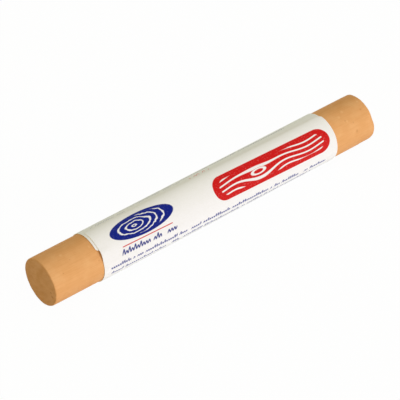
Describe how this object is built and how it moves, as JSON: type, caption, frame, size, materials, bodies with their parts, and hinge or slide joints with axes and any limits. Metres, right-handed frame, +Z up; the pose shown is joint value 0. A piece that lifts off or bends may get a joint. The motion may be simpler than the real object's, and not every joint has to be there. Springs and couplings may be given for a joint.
{
  "type": "furniture repair wax stick",
  "caption": "Round stick of tan filler wax with flat ends, in a wound paper label that slides along it; it is rubbed into scratches and nicks in wooden furniture.",
  "frame": {"origin": "on the surface that the stick lies on, under the middle of its length and width", "axes": "+X along the stick from the near end to the far end, -Y to the front, +Z up"},
  "size_m": [0.1016, 0.013, 0.0133],
  "materials": {
    "wax": "satin tan wax with fine lengthwise drag lines",
    "label_paper": "smooth off-white label paper with a printed design",
    "label_glue": "dried paste film"
  },
  "bodies": {
    "stick": {"wax_stick": "wax"},
    "sleeve": {"paper_label": "label_paper", "seam_glue": "label_glue"}
  },
  "joints": [
    {"name": "label_slide", "type": "slide", "parent": "stick", "child": "sleeve", "axis": [1, 0, 0], "range_m": [-0.0139, 0.0128]}
  ]
}
